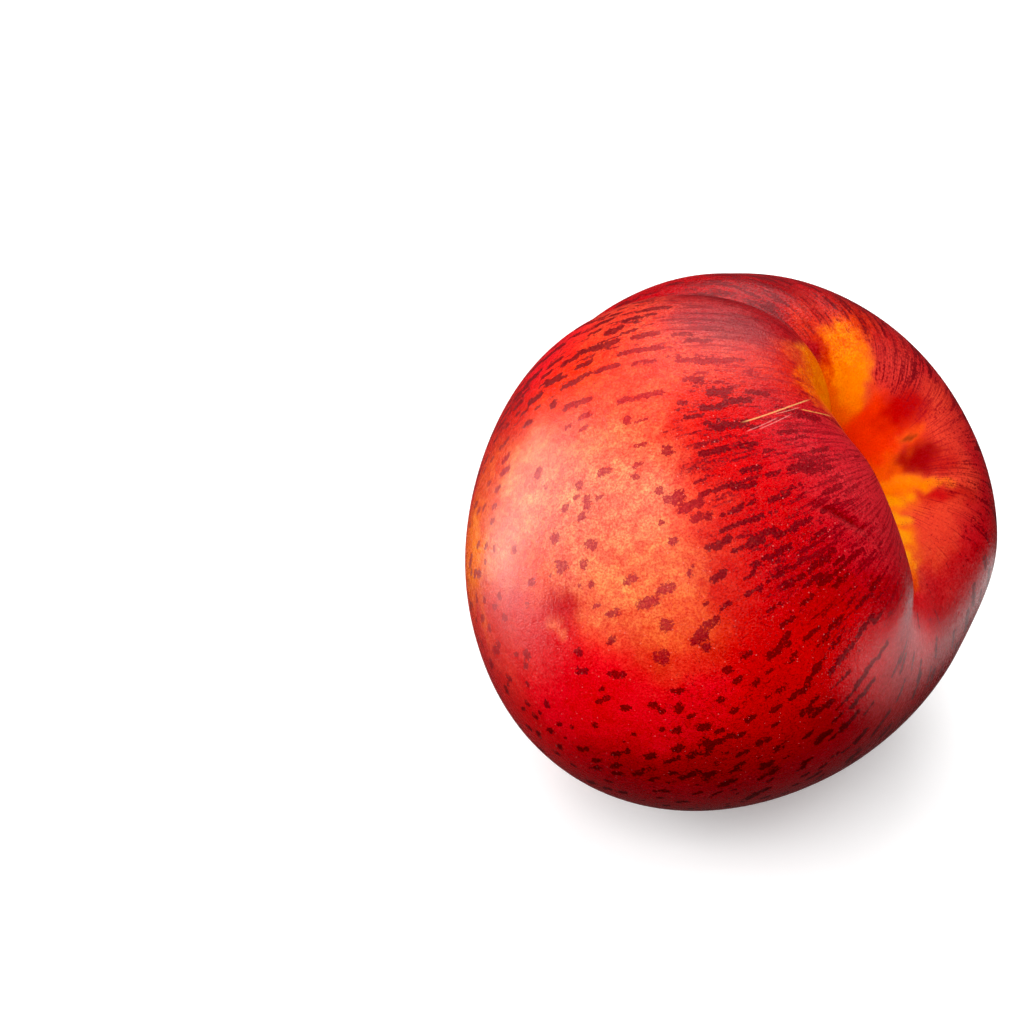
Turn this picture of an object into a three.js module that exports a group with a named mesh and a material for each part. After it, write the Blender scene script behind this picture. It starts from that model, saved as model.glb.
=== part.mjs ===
// Whole nectarine, one closed solid, lying on its side with the stem hollow turned up and to the right.
// Millimetres, +Z up. The origin is under the middle of the fruit, on the surface it rests on.
//
// The skin is one function: the distance from the fruit's middle in every direction. A direction is a
// tilt from the stem axis and a turn about that axis. Turn 0 is the seam side, turn +90 the near cheek.
import * as THREE from 'three';

const DEG = Math.PI / 180;

// Body without its hollows: half sizes, and how square the curve between them is (2 is an ellipsoid).
const HALF_ALONG_SEAM = 34.9;
const HALF_ACROSS_CHEEKS = 39.7;
const HALF_ALONG_STEM = 34.9;
const SQUARENESS = 2.1;

// Stem hollow: narrow from cheek to cheek, long from the seam side to the back, and flared at the back.
const HOLLOW_DEPTH = 17.1;
const HOLLOW_ACROSS = 17.5 * DEG;
const HOLLOW_TO_SEAM = 29.1 * DEG;
const HOLLOW_TO_BACK = 41.4 * DEG;
const FLARE = 11.5 * DEG;
const FLARE_STARTS = 0.45;
const FLARE_ENDS = 0.95;

// Round scar of the stalk at the bottom of the hollow.
const SCAR_DEPTH = 0.8;
const SCAR_RADIUS = 7 * DEG;

// Seam: a furrow from the hollow to the blossom end, bowed a little to the near cheek.
const SEAM_DEPTH = 3.1;
const SEAM_WIDTH = 6.7 * DEG;
const SEAM_BOW = 4.5 * DEG;
const SEAM_EDGE = 1.6;
const SEAM_FADES_FROM = -0.15;
const SEAM_FULL_FROM = 0.35;
const SEAM_SHALLOWS_FROM = 0.9;
const SEAM_SHALLOWS_TO = 2.6;
const SEAM_SHALLOWS_BY = 0.6;

// Blossom end: a small point in a shallow dimple.
const POINT_HEIGHT = 0.9;
const POINT_WIDTH = 0.1;
const DIMPLE_DEPTH = 1.6;
const DIMPLE_WIDTH = 0.34;

// Broad swellings and flats. toward: seam, cheek and stem parts of the direction; spread in radians.
const SWELLINGS = [
  { toward: [0, 1, 0.5], height: -1.1, spread: 0.5 },
  { toward: [0.5, 0.6, 0.5], height: -0.4, spread: 0.4 },
  { toward: [-0.5, 0.6, 0.5], height: 1.8, spread: 0.4 },
  { toward: [-0.6, 0.6, -0.5], height: 1.9, spread: 0.45 },
  { toward: [0.6, 0.6, -0.5], height: -2.8, spread: 0.45 },
  { toward: [0.5, -0.6, 0.5], height: -0.7, spread: 0.45 },
  { toward: [-0.5, -0.6, 0.5], height: 0.8, spread: 0.45 },
  { toward: [0, 0.4, -1], height: 0.2, spread: 0.5 },
  { toward: [1, 0.3, 0], height: 0.6, spread: 0.45 },
  { toward: [-1, 0.3, 0], height: 0.3, spread: 0.45 },
];

// Creases and ridges that run out of the hollow, in degrees of turn and tilt.
const FOLDS = [
  { turn: -15, width: 6, tilt: 46, reach: 26, height: -0.55 },
  { turn: 56.5, width: 18.9, tilt: 25.4, reach: 13, height: -1.6 },
  { turn: 36, width: 12, tilt: 28, reach: 8, height: -2.2 },
  { turn: 92.5, width: 26, tilt: 36, reach: 14, height: 0.63 },
  { turn: -122, width: 9, tilt: 19, reach: 7, height: 0.45 },
  { turn: -143, width: 7, tilt: 17, reach: 6, height: -0.4 },
];
const FOLDS_START = 5 * DEG;
const FOLDS_FULL = 14 * DEG;

// How the fruit lies: the stem axis above the horizontal and its heading, and the seam rolled back.
const STEM_ELEVATION = 34.9 * DEG;
const STEM_HEADING = -14.8 * DEG;
const SEAM_ROLL = 23.2 * DEG;

// Middle of the fruit above the surface it rests on. What would go below the surface is a flat spot.
const CENTRE = new THREE.Vector3(-1.11, 0.55, 35.67);

// Mesh: rings from the stem hollow to the blossom end, closer in the hollow; segments closer at the seam.
const RINGS = 56;
const RING_CROWDING = 1.35;
const SEGMENTS = 88;
const SEAM_CROWDING = 0.5;

function smoothStep(value, start, end) {
  const t = Math.min(Math.max((value - start) / (end - start), 0), 1);
  return t * t * (3 - 2 * t);
}

function bell(value, width) {
  return Math.exp(-((value / width) ** 2));
}

function superellipsoidRadius(seam, cheek, stem) {
  const sum =
    Math.abs(seam / HALF_ALONG_SEAM) ** SQUARENESS +
    Math.abs(cheek / HALF_ACROSS_CHEEKS) ** SQUARENESS +
    Math.abs(stem / HALF_ALONG_STEM) ** SQUARENESS;
  return sum ** (-1 / SQUARENESS);
}

function hollowDepth(tilt, turn) {
  const along = tilt * Math.cos(turn);
  const across = tilt * Math.sin(turn);
  const length = along > 0 ? HOLLOW_TO_SEAM : HOLLOW_TO_BACK;
  const width = HOLLOW_ACROSS + FLARE * smoothStep(-along, FLARE_STARTS, FLARE_ENDS);
  return HOLLOW_DEPTH * bell(across, width) * bell(along, length);
}

function seamDepth(tilt, seam, cheek) {
  const offset = Math.asin(Math.min(Math.max(cheek, -1), 1)) - SEAM_BOW * Math.sin(tilt) ** 2;
  const side = smoothStep(seam, SEAM_FADES_FROM, SEAM_FULL_FROM);
  const shallower = 1 - SEAM_SHALLOWS_BY * smoothStep(tilt, SEAM_SHALLOWS_FROM, SEAM_SHALLOWS_TO);
  return SEAM_DEPTH * side * shallower * Math.exp(-(Math.abs(offset / SEAM_WIDTH) ** SEAM_EDGE));
}

function swellingHeight(direction) {
  let height = 0;
  for (const swelling of SWELLINGS) {
    const toward = new THREE.Vector3(...swelling.toward).normalize();
    height += swelling.height * Math.exp((direction.dot(toward) - 1) / swelling.spread ** 2);
  }
  return height;
}

function foldHeight(tilt, turn) {
  let height = 0;
  for (const fold of FOLDS) {
    const away = turn - fold.turn * DEG;
    const wrapped = Math.atan2(Math.sin(away), Math.cos(away));
    height += fold.height * bell(wrapped, fold.width * DEG) * bell(tilt - fold.tilt * DEG, fold.reach * DEG);
  }
  return height * smoothStep(tilt, FOLDS_START, FOLDS_FULL);
}

function scarDepth(tilt) {
  return SCAR_DEPTH * Math.exp(-((tilt / SCAR_RADIUS) ** 4));
}

function blossomHeight(tilt) {
  const fromEnd = Math.PI - tilt;
  return POINT_HEIGHT * bell(fromEnd, POINT_WIDTH) - DIMPLE_DEPTH * bell(fromEnd, DIMPLE_WIDTH);
}

function skinRadius(tilt, turn) {
  const seam = Math.sin(tilt) * Math.cos(turn);
  const cheek = Math.sin(tilt) * Math.sin(turn);
  const stem = Math.cos(tilt);
  return (
    superellipsoidRadius(seam, cheek, stem) -
    hollowDepth(tilt, turn) -
    seamDepth(tilt, seam, cheek) -
    scarDepth(tilt) +
    swellingHeight(new THREE.Vector3(seam, cheek, stem)) +
    foldHeight(tilt, turn) +
    blossomHeight(tilt)
  );
}

// Directions of the seam side, the near cheek and the stem end as the fruit lies.
function lyingAxes() {
  const stem = new THREE.Vector3(
    Math.cos(STEM_ELEVATION) * Math.cos(STEM_HEADING),
    Math.cos(STEM_ELEVATION) * Math.sin(STEM_HEADING),
    Math.sin(STEM_ELEVATION),
  );
  const sideways = new THREE.Vector3(-Math.sin(STEM_HEADING), Math.cos(STEM_HEADING), 0);
  const upward = new THREE.Vector3().crossVectors(stem, sideways);
  const seam = upward.multiplyScalar(Math.cos(SEAM_ROLL)).addScaledVector(sideways, Math.sin(SEAM_ROLL));
  const cheek = new THREE.Vector3().crossVectors(stem, seam);
  return { seam, cheek, stem };
}

function skinPoint(axes, tilt, turn) {
  const radius = skinRadius(tilt, turn);
  const point = CENTRE.clone()
    .addScaledVector(axes.seam, radius * Math.sin(tilt) * Math.cos(turn))
    .addScaledVector(axes.cheek, radius * Math.sin(tilt) * Math.sin(turn))
    .addScaledVector(axes.stem, radius * Math.cos(tilt));
  point.z = Math.max(point.z, 0);
  return point;
}

function skinGeometry() {
  const axes = lyingAxes();
  const points = [skinPoint(axes, 0, 0)];
  for (let ring = 1; ring < RINGS; ring += 1) {
    const tilt = Math.PI * (ring / RINGS) ** RING_CROWDING;
    for (let segment = 0; segment < SEGMENTS; segment += 1) {
      const even = (2 * Math.PI * segment) / SEGMENTS;
      points.push(skinPoint(axes, tilt, even - SEAM_CROWDING * Math.sin(even)));
    }
  }
  points.push(skinPoint(axes, Math.PI, 0));

  const vertexOf = (ring, segment) => 1 + (ring - 1) * SEGMENTS + (segment % SEGMENTS);
  const blossomEnd = points.length - 1;
  const faces = [];
  for (let segment = 0; segment < SEGMENTS; segment += 1) {
    faces.push(0, vertexOf(1, segment), vertexOf(1, segment + 1));
    for (let ring = 1; ring < RINGS - 1; ring += 1) {
      const near = vertexOf(ring, segment);
      const nearNext = vertexOf(ring, segment + 1);
      const far = vertexOf(ring + 1, segment);
      const farNext = vertexOf(ring + 1, segment + 1);
      faces.push(near, far, farNext, near, farNext, nearNext);
    }
    faces.push(vertexOf(RINGS - 1, segment), blossomEnd, vertexOf(RINGS - 1, segment + 1));
  }

  const geometry = new THREE.BufferGeometry().setFromPoints(points);
  geometry.setIndex(faces);
  geometry.computeVertexNormals();
  return geometry;
}

const skin = new THREE.MeshStandardMaterial({ color: '#c4221b', roughness: 0.36, metalness: 0 });
const fruit = new THREE.Mesh(skinGeometry(), skin);
fruit.name = 'fruit';

const nectarine = new THREE.Group();
nectarine.name = 'nectarine';
nectarine.add(fruit);

export default nectarine;
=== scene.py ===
"""Whole nectarine on a pale floor: fine skin with blush, streaks, freckles and small scars."""

import bpy
import numpy as np
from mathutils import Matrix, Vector
from mathutils.kdtree import KDTree
from mathutils.noise import noise_vector, seed_set


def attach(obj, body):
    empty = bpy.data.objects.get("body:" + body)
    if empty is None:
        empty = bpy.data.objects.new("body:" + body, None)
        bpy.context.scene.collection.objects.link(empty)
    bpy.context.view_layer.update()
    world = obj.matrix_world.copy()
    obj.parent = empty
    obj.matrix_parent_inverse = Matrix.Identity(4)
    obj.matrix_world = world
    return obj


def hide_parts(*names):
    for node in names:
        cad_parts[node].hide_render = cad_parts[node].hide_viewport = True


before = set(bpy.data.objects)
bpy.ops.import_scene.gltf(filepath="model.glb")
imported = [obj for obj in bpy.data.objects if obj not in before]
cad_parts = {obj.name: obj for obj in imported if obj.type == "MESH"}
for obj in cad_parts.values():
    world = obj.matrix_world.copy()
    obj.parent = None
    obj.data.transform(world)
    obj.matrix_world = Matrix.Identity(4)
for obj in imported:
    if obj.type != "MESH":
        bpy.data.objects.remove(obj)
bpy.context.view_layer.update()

MM = 0.001
DEG = np.pi / 180

# Blender would seed noise_vector from the clock
LOOKUP_SEED = 6
FRECKLE_SEED = 20
seed_set(LOOKUP_SEED)

# ---------------------------------------------------------------- shape, the same values as the solid's

HALF_ALONG_SEAM, HALF_ACROSS_CHEEKS, HALF_ALONG_STEM = 34.9, 39.7, 34.9
SQUARENESS = 2.1
HOLLOW_DEPTH = 17.1
HOLLOW_ACROSS, HOLLOW_TO_SEAM, HOLLOW_TO_BACK = 17.5 * DEG, 29.1 * DEG, 41.4 * DEG
FLARE, FLARE_STARTS, FLARE_ENDS = 11.5 * DEG, 0.45, 0.95
SCAR_DEPTH, SCAR_RADIUS = 0.8, 7 * DEG
SEAM_DEPTH, SEAM_WIDTH, SEAM_BOW, SEAM_EDGE = 3.1, 6.7 * DEG, 4.5 * DEG, 1.6
SEAM_FADES_FROM, SEAM_FULL_FROM = -0.15, 0.35
SEAM_SHALLOWS_FROM, SEAM_SHALLOWS_TO, SEAM_SHALLOWS_BY = 0.9, 2.6, 0.6
POINT_HEIGHT, POINT_WIDTH = 0.9, 0.1
DIMPLE_DEPTH, DIMPLE_WIDTH = 1.6, 0.34

# seam, cheek and stem parts of the direction; height in mm; spread in radians
SWELLINGS = [
    ((0, 1, 0.5), -1.1, 0.5),
    ((0.5, 0.6, 0.5), -0.4, 0.4),
    ((-0.5, 0.6, 0.5), 1.8, 0.4),
    ((-0.6, 0.6, -0.5), 1.9, 0.45),
    ((0.6, 0.6, -0.5), -2.8, 0.45),
    ((0.5, -0.6, 0.5), -0.7, 0.45),
    ((-0.5, -0.6, 0.5), 0.8, 0.45),
    ((0, 0.4, -1), 0.2, 0.5),
    ((1, 0.3, 0), 0.6, 0.45),
    ((-1, 0.3, 0), 0.3, 0.45),
]

# turn, width, tilt and reach in degrees; height in mm
FOLDS = [
    (-15, 6, 46, 26, -0.55),
    (56.5, 18.9, 25.4, 13, -1.6),
    (36, 12, 28, 8, -2.2),
    (92.5, 26, 36, 14, 0.63),
    (-122, 9, 19, 7, 0.45),
    (-143, 7, 17, 6, -0.4),
]
FOLDS_START, FOLDS_FULL = 5 * DEG, 14 * DEG

STEM_ELEVATION, STEM_HEADING, SEAM_ROLL = 34.9 * DEG, -14.8 * DEG, 23.2 * DEG
CENTRE = np.array([-1.11, 0.55, 35.67])

RINGS, RING_CROWDING = 248, 1.2
SEGMENTS, SEAM_CROWDING = 396, 0.35


def smooth_step(value, start, end):
    """0 before start, 1 after end, and a smooth rise between them."""
    t = np.clip((value - start) / (end - start), 0, 1)
    return t * t * (3 - 2 * t)


def bell(value, width):
    """1 in the middle, falling smoothly to 0 over about two widths."""
    return np.exp(-((value / width) ** 2))


def wrapped(angle):
    """The same angle between minus half a turn and half a turn."""
    return np.arctan2(np.sin(angle), np.cos(angle))


def skin_radius(tilt, turn):
    """Distance in mm from the fruit's middle; tilt is from the stem, turn is from the seam."""
    seam = np.sin(tilt) * np.cos(turn)
    cheek = np.sin(tilt) * np.sin(turn)
    stem = np.cos(tilt)
    body = (
        np.abs(seam / HALF_ALONG_SEAM) ** SQUARENESS
        + np.abs(cheek / HALF_ACROSS_CHEEKS) ** SQUARENESS
        + np.abs(stem / HALF_ALONG_STEM) ** SQUARENESS
    ) ** (-1 / SQUARENESS)

    along = tilt * np.cos(turn)
    across = tilt * np.sin(turn)
    length = np.where(along > 0, HOLLOW_TO_SEAM, HOLLOW_TO_BACK)
    width = HOLLOW_ACROSS + FLARE * smooth_step(-along, FLARE_STARTS, FLARE_ENDS)
    hollow = HOLLOW_DEPTH * bell(across, width) * bell(along, length)

    offset = np.arcsin(np.clip(cheek, -1, 1)) - SEAM_BOW * np.sin(tilt) ** 2
    side = smooth_step(seam, SEAM_FADES_FROM, SEAM_FULL_FROM)
    shallower = 1 - SEAM_SHALLOWS_BY * smooth_step(tilt, SEAM_SHALLOWS_FROM, SEAM_SHALLOWS_TO)
    furrow = SEAM_DEPTH * side * shallower * np.exp(-(np.abs(offset / SEAM_WIDTH) ** SEAM_EDGE))

    swelling = np.zeros_like(tilt)
    for toward, height, spread in SWELLINGS:
        s, c, w = np.array(toward) / np.linalg.norm(toward)
        swelling += height * np.exp((seam * s + cheek * c + stem * w - 1) / spread**2)

    folds = np.zeros_like(tilt)
    for fold_turn, fold_width, fold_tilt, reach, height in FOLDS:
        away = wrapped(turn - fold_turn * DEG)
        folds += height * bell(away, fold_width * DEG) * bell(tilt - fold_tilt * DEG, reach * DEG)
    folds *= smooth_step(tilt, FOLDS_START, FOLDS_FULL)

    scar = SCAR_DEPTH * np.exp(-((tilt / SCAR_RADIUS) ** 4))
    from_end = np.pi - tilt
    blossom = POINT_HEIGHT * bell(from_end, POINT_WIDTH) - DIMPLE_DEPTH * bell(from_end, DIMPLE_WIDTH)
    return body - hollow - furrow - scar + swelling + folds + blossom


def lying_axes():
    """Seam, cheek and stem directions of the fruit as it lies."""
    stem = np.array([
        np.cos(STEM_ELEVATION) * np.cos(STEM_HEADING),
        np.cos(STEM_ELEVATION) * np.sin(STEM_HEADING),
        np.sin(STEM_ELEVATION),
    ])
    sideways = np.array([-np.sin(STEM_HEADING), np.cos(STEM_HEADING), 0])
    seam = np.cross(stem, sideways) * np.cos(SEAM_ROLL) + sideways * np.sin(SEAM_ROLL)
    return seam, np.cross(stem, seam), stem


def skin_points(tilt, turn):
    """Places on the skin in mm, cut off flat at the surface that the fruit rests on."""
    seam, cheek, stem = lying_axes()
    radius = skin_radius(tilt, turn)
    points = (
        CENTRE
        + (radius * np.sin(tilt) * np.cos(turn))[..., None] * seam
        + (radius * np.sin(tilt) * np.sin(turn))[..., None] * cheek
        + (radius * np.cos(tilt))[..., None] * stem
    )
    points[..., 2] = np.maximum(points[..., 2], 0)
    return points


# a point at each pole and closed rings between them; ring and segment count the quads
rings = np.pi * (np.arange(1, RINGS) / RINGS) ** RING_CROWDING
even = 2 * np.pi * np.arange(SEGMENTS) / SEGMENTS
tilt, turn = np.meshgrid(rings, even - SEAM_CROWDING * np.sin(even), indexing="ij")
tilt = np.concatenate([[0.0], tilt.ravel(), [np.pi]])
turn = wrapped(np.concatenate([[0.0], turn.ravel(), [0.0]]))
points = skin_points(tilt, turn)

ring, segment = np.meshgrid(np.arange(RINGS - 2), np.arange(SEGMENTS), indexing="ij")
near = (1 + ring * SEGMENTS + segment).ravel()
near_next = (1 + ring * SEGMENTS + (segment + 1) % SEGMENTS).ravel()
quads = np.stack([near, near + SEGMENTS, near_next + SEGMENTS, near_next], axis=1)
first = 1 + np.arange(SEGMENTS)
first_next = 1 + (np.arange(SEGMENTS) + 1) % SEGMENTS
last_row = (RINGS - 2) * SEGMENTS
top_fan = np.stack([np.zeros_like(first), first, first_next], axis=1)
end_fan = np.stack([first + last_row, np.full_like(first, len(tilt) - 1), first_next + last_row], axis=1)

mesh = bpy.data.meshes.new("nectarine_skin")
mesh.from_pydata((points * MM).tolist(), [], quads.tolist() + top_fan.tolist() + end_fan.tolist())
mesh.update()
mesh.shade_smooth()
fruit = bpy.data.objects.new("nectarine_skin", mesh)
bpy.context.collection.objects.link(fruit)
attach(fruit, "root")
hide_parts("fruit")

# ---------------------------------------------------------------- what grows where on the skin

# ground colours, linear
YELLOW = (0.99, 0.205, 0.0005)
AMBER = (0.93, 0.12, 0.0005)
TANGERINE = (0.86, 0.085, 0.0005)
VERMILION = (0.84, 0.028, 0.0008)
ORANGE = (0.84, 0.090, 0.018)
SALMON = (0.80, 0.185, 0.100)
PEACH = (0.84, 0.17, 0.058)
CORAL = (0.80, 0.052, 0.022)
BLUSH = (0.70, 0.034, 0.024)
FLUSH = (0.82, 0.016, 0.022)
SCARLET = (0.70, 0.026, 0.008)
RED = (0.60, 0.0006, 0.0025)
BLAZE = (0.85, 0.0025, 0.0135)
GOLD = (1.0, 0.36, 0.002)
ROSE = (0.62, 0.016, 0.020)
CERISE = (0.55, 0.007, 0.013)
# painted reflection: the crest's red with a soft pinkish sheen painted in, and painted light that lifts
# its rim
CREST_RED_AND_SHEEN = (0.62, 0.015, 0.025)
DUSK = (0.44, 0.030, 0.036)
CRIMSON = (0.44, 0.0010, 0.006)
WINE = (0.46, 0.001, 0.004)

# spot colours, linear
ROSE_SPOT = (0.43, 0.022, 0.036)
RED_SPOT = (0.40, 0.004, 0.010)
PLUM_SPOT = (0.23, 0.0015, 0.006)
DARK_SPOT = (0.155, 0.0005, 0.004)
BLACK_SPOT = (0.09, 0.0005, 0.001)
PALE_GRAIN = (0.95, 0.28, 0.24)

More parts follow.
